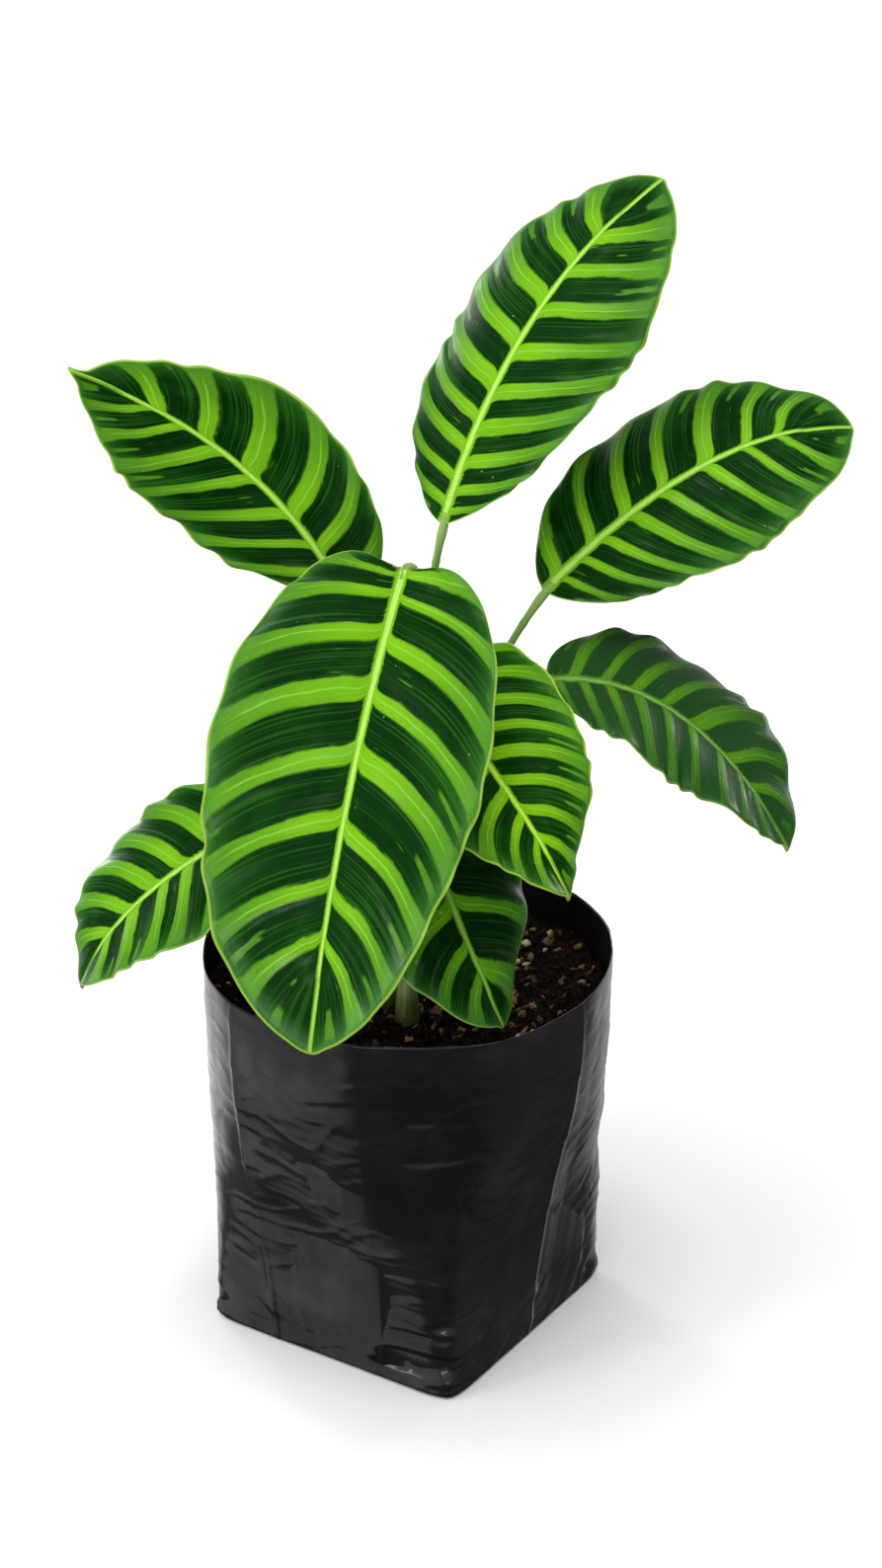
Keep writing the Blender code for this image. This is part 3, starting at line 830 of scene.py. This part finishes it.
def make_stalk(leaf, number, material):
    points, along = resample(stalk_path(leaf), STALK_RINGS)
    length = along[-1]
    sheath_end = SHEATH_LENGTH * (0.8 + 0.05 * number)
    sheath_radius = THICK_SHEATHS.get(leaf.name, SHEATH_RADIUS)

    def radius(ring, angles):
        height = max(0, points[ring][2] - SOIL_TOP)
        share = along[ring] / length
        thin = STALK_RADIUS + (STALK_END_RADIUS - STALK_RADIUS) * share
        sheath = max(0, 1 - height / sheath_end)
        ribs = 1 + RIB_HEIGHT * (0.3 + sheath) * np.cos(RIBS * angles + 0.6 * number)
        lap = LAP * np.clip((sheath - 0.02) * 12, 0, 1) * ((angles + number) % (2 * pi) < LAP_WIDTH)
        from_end = length - along[ring]
        bulges = bulge(from_end, **SWELL) + bulge(from_end, **NODE_RING)
        return (thin + (sheath_radius - STALK_RADIUS) * sheath ** 1.5 + bulges) * ribs + lap

    grid = sweep(points, radius)
    heights = np.repeat(np.clip((points[:, 2] - SOIL_TOP) / sheath_end, 0, 4), STALK_SIDES)
    from_end = np.repeat((length - along) / MM, STALK_SIDES)
    turn = np.tile(np.arange(STALK_SIDES) / STALK_SIDES, STALK_RINGS)
    around = np.abs(turn - 0.5) * 2
    stalk = mesh_object(f"stem_{leaf.name}", grid, ring_faces(STALK_RINGS, STALK_SIDES), [material],
                        attributes=dict(height=heights, from_end=from_end, around=around))
    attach(stalk, "root")
    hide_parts(f"stalk_{leaf.name}")
    return stalk


print("stalk radius in mm:", STALK_RADIUS / MM, "sheath:", SHEATH_RADIUS / MM)

# %% [markdown]
# The skin of a stalk is a fibrous green, yellower at the joint, browner on the sheath, and dry and dark
# where it leaves the potting mix. One material does for all eight, because the mesh carries the height
# above the mix and the distance from the blade, and the colours follow those.

# %% The skin of a stalk
STALK_DARK = (0.050, 0.130, 0.018)
STALK_PALE = (0.12, 0.27, 0.035)
SHEATH_BROWN = (0.085, 0.060, 0.018)
SHEATH_DRY = (0.035, 0.022, 0.012)
JOINT_GREEN = (0.16, 0.24, 0.05)


def stalk_material():
    material, start, connect = new_material("stalk_skin", Specular_IOR_Level=0.45)
    height, from_end, around = (start.attribute(key) for key in ("height", "from_end", "around"))
    fibres = start.noise(start.vector(around * 26, height * 1.4, 0), detail=2)
    blotch = start.noise(start.vector(around * 3, height * 5, 3), detail=3)
    colour = fibres.step(0.3, 0.7).mix(STALK_DARK, STALK_PALE)
    brown = (1.05 - height + blotch * 0.5 - 0.25).step(0.35, 0.95)
    colour = (brown * 0.45).mix(colour, SHEATH_BROWN)
    dry = (1 - height).step(0.86, 0.99) * blotch.step(0.35, 0.6)
    colour = (dry * 0.8).mix(colour, SHEATH_DRY)
    joint = from_end.step(22, 15)
    colour = (joint * 0.7).mix(colour, JOINT_GREEN)
    bump = start.bump(fibres, 0.4 * MM, 0.6)
    connect(Base_Color=colour, Roughness=0.38 + blotch * 0.25, Normal=bump)
    return material


stalk_skin = stalk_material()
for number, leaf in enumerate(LEAVES):
    make_stalk(leaf, number, stalk_skin)
print("stalks:", len(LEAVES), "each", STALK_RINGS, "rings")

# %% [markdown]
# The grow bag is a tube of thin black film, folded flat with gussets and welded square below, so that it
# is round at the filled rim and nearly square at the base. Cloth simulation could fill such a bag, but
# the solid's formula already has the section at each height, with the upright gusset folds and the larger
# dents, and repeating it keeps the film on the solid.

# %% The bag's section
RIM_RADIUS = 100 * MM
BAG_HEIGHT = 200 * MM
BASE_HALF_DIAGONAL = 96.5 * MM
BASE_CORNER_ANGLE = radians(-78)
BASE_EDGE = 3 * MM
FILM = 0.5 * MM
CREASES = (-146, -34, 34, 146)
CREASE_RISE = 1.5 * MM
CREASE_WIDTH = radians(13)
DENT_WIDTH = radians(20)
DENT_HEIGHT = 14 * MM
DENTS = ((-84, 105, 2.2), (-70, 62, 2.0), (-112, 40, 1.8), (-40, 50, 1.6),
         (20, 90, 2.0), (75, 60, 2.0), (110, 120, 1.8), (170, 75, 2.0))


def from_angle(angle, degrees):
    """Signed angle from a direction given in degrees, in radians."""
    return (angle - radians(degrees) + pi) % (2 * pi) - pi


def section_radius(angle, height):
    up = height / BAG_HEIGHT
    power = 2 + 11 * (1 - up) ** 3
    corner = BASE_HALF_DIAGONAL + (RIM_RADIUS - BASE_HALF_DIAGONAL) * up
    flat = corner / 2 ** (0.5 - 1 / power)
    turn = angle - BASE_CORNER_ANGLE - pi / 4
    return flat / (np.abs(np.cos(turn)) ** power + np.abs(np.sin(turn)) ** power) ** (1 / power)


def fold_relief(angle, height):
    up = height / BAG_HEIGHT
    fade = np.minimum(1, 8 * up) * np.minimum(1, 12 * (1 - up) + 0.35)
    relief = 0.35 * MM * np.sin(5 * angle + 26 * up) * np.sin(pi * up)
    for crease in CREASES:
        away = np.abs(from_angle(angle, crease))
        relief = relief + CREASE_RISE * np.maximum(0, 1 - away / CREASE_WIDTH)
    for at_angle, at_height, depth in DENTS:
        sideways = from_angle(angle, at_angle) / DENT_WIDTH
        reach = sideways ** 2 + ((height - at_height * MM) / DENT_HEIGHT) ** 2
        relief = relief - depth * MM * np.exp(-reach)
    return fade * relief


corner_radius = float(section_radius(BASE_CORNER_ANGLE, 0))
print("rim mm:", RIM_RADIUS / MM, "base corner mm:", round(corner_radius / MM, 1))

# %% [markdown]
# What makes film look like film is its fine wrinkles. They are real relief here, because a bump alone would
# leave the outline and the broad reflections smooth. They are sums of three kinds of shape. A soft wrinkle
# is noise stretched along one direction. A crease is the same noise folded over at zero, so that it has a
# sharp crest. A tuck is a single lens-shaped dent with one crisp lip.

# %% Wrinkle shapes
def noise_grid(x, y, seed):
    """Smooth noise for every point of a grid."""
    flat = [noise.noise((a, b, seed)) for a, b in zip(x.reshape(-1).tolist(), y.reshape(-1).tolist())]
    return np.array(flat).reshape(x.shape)


def ridges(x, y, degrees, spacing, stretch, seed):
    """Soft parallel wrinkles that run along a slanted direction."""
    c, s = cos(radians(degrees)), sin(radians(degrees))
    run, rise = x * c + y * s, y * c - x * s
    bend = noise_grid(run / (stretch * 0.7), rise / (spacing * 6), seed + 5)
    return noise_grid(run / stretch, rise / spacing + bend * 0.8, seed)


def crease_field(x, y, degrees, spacing, stretch, seed):
    """Sharp crests along a slanted direction, 1 on the crest."""
    return np.clip(1 - 3.2 * np.abs(ridges(x, y, degrees, spacing, stretch, seed)), 0, 1) ** 1.5


def tuck(angle, height, at_angle, at_height, wide, tall, depth, tilt=0.0):
    """A lens-shaped dent, deepest just under its upper lip; sizes in degrees and millimetres."""
    x = from_angle(angle, at_angle) / radians(wide)
    y = (height - at_height * MM) / (tall * MM) - tilt * x
    lens = np.clip(1 - x * x - y * y, 0, 1)
    return -depth * MM * lens ** 0.8 * (0.55 + 0.45 * np.clip(y + 0.5, 0, 1))


print("depth of a 2 mm tuck in its middle, in mm:", round(float(tuck(0, 0, 0, 0, 10, 4, 2.0)) / MM, 2))

# %% [markdown]
# The wrinkles have their places on the bag. The wall breaks into flat panels along a few upright lines, and
# slanted wrinkles run down from the gusset folds towards the corners of the base. The front is dimpled all
# the way down, with its deepest pocket just above the base, where the folded corner stands out as a small
# ear. Tucks scattered at random would be quicker, but film gathers where it is folded and pulled, so the
# tucks are placed one by one.

# %% Fine wrinkles
TUCKS = [   # angle, height, half width in degrees, half height in mm, depth in mm, tilt
    (-80, 118, 13, 3.5, 1.4, 0.3), (-82, 97, 14, 4, 1.8, -0.2), (-66, 96, 10, 3, 1.3, 0.6),
    (-78, 137, 15, 3, 1.0, 0.2), (-84, 158, 12, 3, 0.9, -0.2), (-66, 170, 9, 2.5, 1.0, 0.5),
    (-84, 70, 16, 4, 2.0, 0.1), (-65, 62, 11, 3.5, 1.6, 0.7), (-93, 57, 10, 2.5, 1.4, -0.3),
    (-72, 42, 13, 4, 2.6, 0.5), (-86, 33, 11, 3, 1.8, 0.2), (-60, 30, 8, 5, 1.6, 1.2),
    (-86, 17, 16, 8, 4.6, 0.1), (-70, 20, 8, 4, 2.4, 0.9), (-97, 11, 8, 3, 2.0, 0.3),
    (-77, 5, 8, 3, 2.0, 0.0),
    (-120, 60, 7, 9, 0.5, -1.6), (-128, 40, 7, 9, 0.6, -1.8), (-140, 28, 6, 8, 0.7, -1.8),
    (-46, 35, 8, 7, 0.7, 1.5), (-40, 60, 6, 9, 0.5, 1.6), (-32, 22, 7, 6, 0.7, 1.4),
    (100, 40, 12, 4, 1.4, 0.4), (104, 70, 14, 4, 1.1, -0.3), (88, 20, 10, 5, 1.6, 0.6),
    (10, 14, 8, 6, 2.0, 0.3), (190, 14, 8, 6, 2.0, -0.3), (100, 10, 15, 5, 2.4, -0.2),
]
EAR = 3.4 * MM
EAR_WIDTH = radians(4)
PANEL_LINES = ((-104, 0.9, 12), (-66, 0.6, 12), (80, 0.9, 14), (112, 0.7, 12), (10, 0.7, 12))
SLANT = 0.42 * MM
SLANTS = ((180, -50), (0, 50), (-132, -44), (-45, 38), (60, -50), (130, 48))


def film_wrinkles(angle, height):
    """Fine relief of the film, in metres, outwards."""
    up = height / BAG_HEIGHT
    x, y = angle * RIM_RADIUS, height
    relief = 0.28 * MM * ridges(x, y, 4, 9 * MM, 45 * MM, 1.0)
    front = np.exp(-(from_angle(angle, -75) / radians(35)) ** 2)
    relief = relief + (0.10 + 0.14 * front) * MM * ridges(x, y, -8, 3.5 * MM, 22 * MM, 2.0)
    relief = relief + 0.30 * MM * crease_field(x, y, 6, 11 * MM, 40 * MM, 30.0)
    slant = np.zeros_like(x)
    for number, (middle, lean) in enumerate(SLANTS):
        weight = np.exp(-(from_angle(angle, middle) / radians(22)) ** 2)
        slant = slant + weight * (0.7 * ridges(x, y, lean, 8 * MM, 36 * MM, 10.0 + number)
                                  + 0.45 * crease_field(x, y, lean, 17 * MM, 46 * MM, 40.0 + number))
    relief = relief + SLANT * slant * (0.25 + 0.95 * (1 - up) ** 1.5)
    for line, rise, reach in PANEL_LINES:
        away = np.abs(from_angle(angle - radians(4) * (1 - up), line))
        relief = relief + rise * MM * np.maximum(0, 1 - away / radians(reach)) * np.clip(up * 2.2, 0.15, 1)
    for crease in CREASES:
        away = np.abs(from_angle(angle, crease))
        relief = relief + 1.1 * MM * np.exp(-away / radians(0.7)) * (0.7 + 0.3 * np.cos(9 * up))
    return relief


def base_corners(angle, height):
    """Tucked corners: the film stands out in a small ear at each corner of the base."""
    up = height / BAG_HEIGHT
    relief = np.zeros_like(up)
    for number in range(4):
        corner = from_angle(angle, -78 + 90 * number)
        relief = relief + EAR * np.exp(-np.abs(corner) / EAR_WIDTH) * np.exp(-(up / 0.10) ** 1.5)
    return relief


print("tucks:", len(TUCKS), "panel lines:", len(PANEL_LINES), "slanted groups:", len(SLANTS))

# %% [markdown]
# The bag is one closed skin of rings: from the middle of the base out under it, up the wall to the rim, and
# down the inside to the bottom again, half a millimetre in from the wall. A Solidify modifier would do the
# inside as well, but rings give the lining fewer points where the potting mix hides it.

# %% The bag's rings
BAG_SIDES = 440
BAG_RINGS = 184
BASE_SHARES = (0.12, 0.4, 0.7, 0.97)
LINING_DEPTHS = (0.4, 2, 5, 9, 14, 20, 27, 60, 120, 180, 198)


def bag_wall(angle, height):
    radius = section_radius(angle, height) + fold_relief(angle, height)
    relief = film_wrinkles(angle, height) + base_corners(angle, height)
    for values in TUCKS:
        relief = relief + tuck(angle, height, *values)
    return radius + relief * np.clip(height / (4 * MM), 0.2, 1)


def bag_rings():
    """Rings of film from the middle of the base, out under it, up to the rim, and down the inside."""
    angle = np.linspace(0, 2 * pi, BAG_SIDES, endpoint=False)
    rings = []
    for share in BASE_SHARES:
        radius = section_radius(angle, 0 * angle) * share
        rings.append(np.stack([radius * np.cos(angle), radius * np.sin(angle), 0 * angle], 1))
    up = np.linspace(0, 1, BAG_RINGS)[:, None]
    angles = angle[None, :] + 0 * up
    heights = BASE_EDGE * 0.5 + (BAG_HEIGHT - BASE_EDGE * 0.5) * up + 0 * angles
    radius = bag_wall(angles, heights)
    waved_rim = 0.9 * np.sin(3 * angles + 1) + 0.5 * np.sin(7 * angles)
    heights = heights + up ** 8 * MM * waved_rim
    wall = np.stack([radius * np.cos(angles), radius * np.sin(angles), heights], -1)
    lining = []
    for depth in LINING_DEPTHS:
        outside = wall[np.abs(wall[:, 0, 2] - (wall[-1, 0, 2] - depth * MM)).argmin()].copy()
        inward = 1 - FILM / np.linalg.norm(outside[:, :2], axis=1, keepdims=True)
        outside[:, :2] *= inward
        lining.append(outside)
    return np.concatenate([np.array(rings), wall, np.array(lining)])


def make_bag(material):
    grid = bag_rings()
    bag = mesh_object("grow_bag", grid, ring_faces(len(grid), BAG_SIDES), [material])
    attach(bag, "root")
    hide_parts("bag")
    return bag


print("rings of the bag:", len(BASE_SHARES) + BAG_RINGS + len(LINING_DEPTHS))

# %% [markdown]
# Polyethylene film is black with a waxy skin. A single glossy surface would look like lacquer, so the body
# of the film is rough and hardly mirrors, and a thin clear coat over it mirrors the glows of the sky. A
# cloudy haze makes the coat stronger and weaker, and a little dust dulls it.

# %% The film
FILM_BLACK = (0.0030, 0.0030, 0.0036)
FILM_HAZE = (0.008, 0.008, 0.0095)
FILM_DUST = (0.10, 0.095, 0.09)


def film_material():
    material, start, connect = new_material("black_film", Specular_IOR_Level=0.05, Coat_Roughness=0.11)
    place = start.place()
    haze = start.noise(place, scale=22, detail=4, roughness=0.6)
    grain = start.noise(place, scale=420, detail=2)
    dust = start.noise(place, scale=900, detail=1).step(0.72, 0.80)
    colour = (haze.step(0.4, 0.75) * 0.5).mix(FILM_BLACK, FILM_HAZE)
    colour = (dust * 0.12).mix(colour, FILM_DUST)
    bump = start.bump(grain * 0.3 + haze, 0.6 * MM, 0.3)
    connect(Base_Color=colour, Roughness=0.34 + haze * 0.2 + dust * 0.2, Normal=bump,
            Coat_Weight=0.26 + haze.step(0.42, 0.70) * 0.2)
    return material


grow_bag = make_bag(film_material())
print("bag quads:", len(grow_bag.data.polygons))

# %% [markdown]
# The potting mix fills the bag to a little under the rim. It is a plug of rings like the bag, inside the
# film, with a top that is lumpy from a few sines and rough from two sizes of noise. Displacing a disc with
# a texture would do as well, but then the crumbs that lie on it wouldn't know how high the top is.

# %% The plug of potting mix
SOIL_SIDES = 240
SOIL_RINGS = 80
SIDE_HEIGHTS = (2.5, 40, 80, 120, 160)
TOP_INSET = 1.4 * MM
SIDE_INSET = 3.6 * MM
LUMPS = 1.1 * MM
COARSE = dict(rise=1.6 * MM, size=5 * MM, seed=3.0)
FINE = dict(rise=1.1 * MM, size=1.9 * MM, seed=4.0)


def roughness(x, y, rise, size, seed):
    return rise * noise_grid(x / size, y / size, seed)


def soil_height(x, y):
    lumps = np.sin(210 * x + 1.3) * np.sin(190 * y + 0.4)
    lumps = lumps + 0.6 * np.sin(470 * x + 330 * y) + 0.4 * np.sin(390 * y - 510 * x + 2)
    mound = 2 * MM * np.exp(-(x * x + y * y) / (40 * MM) ** 2)
    return SOIL_TOP + mound + LUMPS * lumps


def make_soil(material):
    angle = np.linspace(0, 2 * pi, SOIL_SIDES, endpoint=False)
    wall_radius = section_radius(angle, SOIL_TOP) + fold_relief(angle, SOIL_TOP + 0 * angle) - TOP_INSET
    share = np.linspace(1, 0.01, SOIL_RINGS)[:, None]
    x, y = share * wall_radius * np.cos(angle), share * wall_radius * np.sin(angle)
    z = soil_height(x, y) + roughness(x, y, **COARSE) + roughness(x, y, **FINE)
    top = np.stack([x, y, z], -1)
    sides = []
    for height in SIDE_HEIGHTS:
        z = height * MM + 0 * angle
        radius = section_radius(angle, z) + fold_relief(angle, z) - SIDE_INSET
        sides.append(np.stack([radius * np.cos(angle), radius * np.sin(angle), z], 1))
    grid = np.concatenate([np.array(sides), top])
    soil = mesh_object("potting_mix", grid, ring_faces(len(grid), SOIL_SIDES), [material])
    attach(soil, "root")
    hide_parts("soil")
    return soil


print("height of the mix in its middle, in mm:", round(soil_height(0, 0) / MM, 1))

# %% [markdown]
# On the mix lie three sorts of loose crumb: dark compost, brown bark and cream perlite. The compost's
# near-black is partly its own colour and partly painted shade of the bag's rim. A particle system could
# scatter them, but it would give copies of one stone. Here each sort is one object of many little balls,
# each dented, stretched, turned and set down by its own seeded random draws, because separate crumbs catch
# the light as no bump can.

# %% Loose crumbs
DENT = 0.28
MOST_DENT = 1.6
EDGE_CLEARANCE = 3 * MM
FAR = 0.97
SUNK = 0.35


def stone_shape(level):
    ball = bmesh.new()
    bmesh.ops.create_icosphere(ball, subdivisions=level, radius=1)
    points = np.array([tuple(v.co) for v in ball.verts])
    faces = np.array([[v.index for v in f.verts] for f in ball.faces])
    ball.free()
    return points, faces


def scatter(name, count, sizes, squash, level, seed, material):
    """Many small stones in one object, lying on the mix. The sizes are in millimetres."""
    rng = np.random.default_rng(seed)
    shape, faces = stone_shape(level)
    all_points, all_faces, tones = [], [], []
    for number in range(count):
        distance = np.sqrt(rng.uniform(0, FAR ** 2))
        angle = rng.uniform(0, 2 * pi)
        radius = (section_radius(angle, SOIL_TOP) - EDGE_CLEARANCE) * distance
        x, y = radius * cos(angle), radius * sin(angle)
        size = rng.uniform(*sizes) * MM / 2 * rng.uniform(0.7, 1.3)
        dents = 1 + DENT * rng.normal(size=(len(shape), 1)).clip(-MOST_DENT, MOST_DENT)
        stretch = np.array([rng.uniform(0.8, 1.5), rng.uniform(0.6, 1.0), rng.uniform(*squash)])
        turn = np.linalg.qr(rng.normal(size=(3, 3)) * [1, 1, 0.35] + np.diag([0, 0, 1.2]))[0]
        stone = (shape * dents * stretch * size) @ turn.T
        middle = soil_height(x, y) + (1 - 2 * SUNK) * size
        all_points.append(stone + [x, y, middle])
        all_faces.append(faces + number * len(shape))
        tones.append(np.full(len(shape), rng.uniform()))
    crumbs = mesh_object(name, np.concatenate(all_points), np.concatenate(all_faces), [material],
                         attributes=dict(tone=np.concatenate(tones)), smooth=level > 1)
    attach(crumbs, "root")
    return crumbs


print("corners of a small and of a large stone:", [len(stone_shape(level)[0]) for level in (1, 2)])

# %% [markdown]
# Every crumb has one tone of its own, drawn at random and carried by its mesh, and a mottle on top of it.
# The mix below is nearly black with a few pale fibres: partly the dark of damp compost, and partly painted
# shade, standing in for the shade of the bag's rim. All of it is matt, as damp compost is.

# %% The looks of the mix
# painted shade: these near-black colours are darker than damp compost alone, standing in for the rim's
# shade
MIX_BLACK = (0.0012, 0.0008, 0.0005)
MIX_BROWN = (0.009, 0.005, 0.003)
FIBRE_BROWN = (0.10, 0.06, 0.03)


def crumb_material(name, dark, pale):
    material, start, connect = new_material(name, Roughness=0.85, Specular_IOR_Level=0.1)
    tone = start.attribute("tone")
    place = start.place()
    mottle = start.noise(place, scale=700, detail=3)
    colour = (tone * 0.7 + mottle.step(0.35, 0.7) * 0.3).mix(dark, pale)
    bump = start.bump(mottle, 0.5 * MM, 0.8)
    connect(Base_Color=colour, Normal=bump)
    return material


def mix_material():
    material, start, connect = new_material("potting_mix_surface", Roughness=0.92, Specular_IOR_Level=0.05)
    place = start.place()
    lumps = start.noise(place, scale=260, detail=5, roughness=0.7)
    fibre = start.noise(place, scale=900, detail=3)
    colour = lumps.step(0.35, 0.7).mix(MIX_BLACK, MIX_BROWN)
    colour = (fibre.step(0.64, 0.72) * 0.7).mix(colour, FIBRE_BROWN)
    bump = start.bump(lumps + fibre * 0.4, 1.5 * MM, 0.9)
    connect(Base_Color=colour, Normal=bump)
    return material


# %% Making the mix
soil = make_soil(mix_material())
# painted shade: the compost crumbs' near-black colours also stand in for the rim's shade
compost = scatter("compost_crumbs", count=2600, sizes=(1.2, 3.6), squash=(0.5, 0.9), level=1, seed=11,
                  material=crumb_material("compost", (0.0015, 0.001, 0.0006), (0.014, 0.0075, 0.004)))
bark = scatter("bark_chips", count=400, sizes=(1.4, 5.2), squash=(0.3, 0.6), level=2, seed=12,
               material=crumb_material("bark", (0.03, 0.015, 0.006), (0.24, 0.14, 0.062)))
perlite = scatter("perlite", count=50, sizes=(1.6, 4.4), squash=(0.6, 0.9), level=2, seed=13,
                  material=crumb_material("perlite_grains", (0.28, 0.19, 0.10), (0.55, 0.42, 0.27)))
mix_pieces = (soil, compost, bark, perlite)
print("faces of the mix:", {piece.name: len(piece.data.polygons) for piece in mix_pieces})

# %% [markdown]
# The floor is a wide pale sheet, so wide that its edge is never seen from low down. It is part of the
# studio and not of the plant, so it is not attached to the plant. It is hidden from mirror rays, so that
# the black film shows the dim sky and stays black. A slightly uneven tone keeps it from looking like a
# blank page.

# %% The floor
FLOOR_REACH = 60.0
FLOOR_DARK = (0.575, 0.575, 0.575)
FLOOR_PALE = (0.595, 0.595, 0.595)


def make_floor():
    material, start, connect = new_material("pale_floor", Roughness=0.9, Specular_IOR_Level=0.1)
    soft = start.noise(start.place(), scale=3, detail=2)
    connect(Base_Color=soft.mix(FLOOR_DARK, FLOOR_PALE))
    corners = ((-1, -1, 0), (1, -1, 0), (1, 1, 0), (-1, 1, 0))
    points = np.array(corners) * FLOOR_REACH
    floor = mesh_object("floor", points, [(0, 1, 2, 3)], [material])
    floor.visible_glossy = False
    return floor


print("floor in metres:", list(make_floor().dimensions))

# %% [markdown]
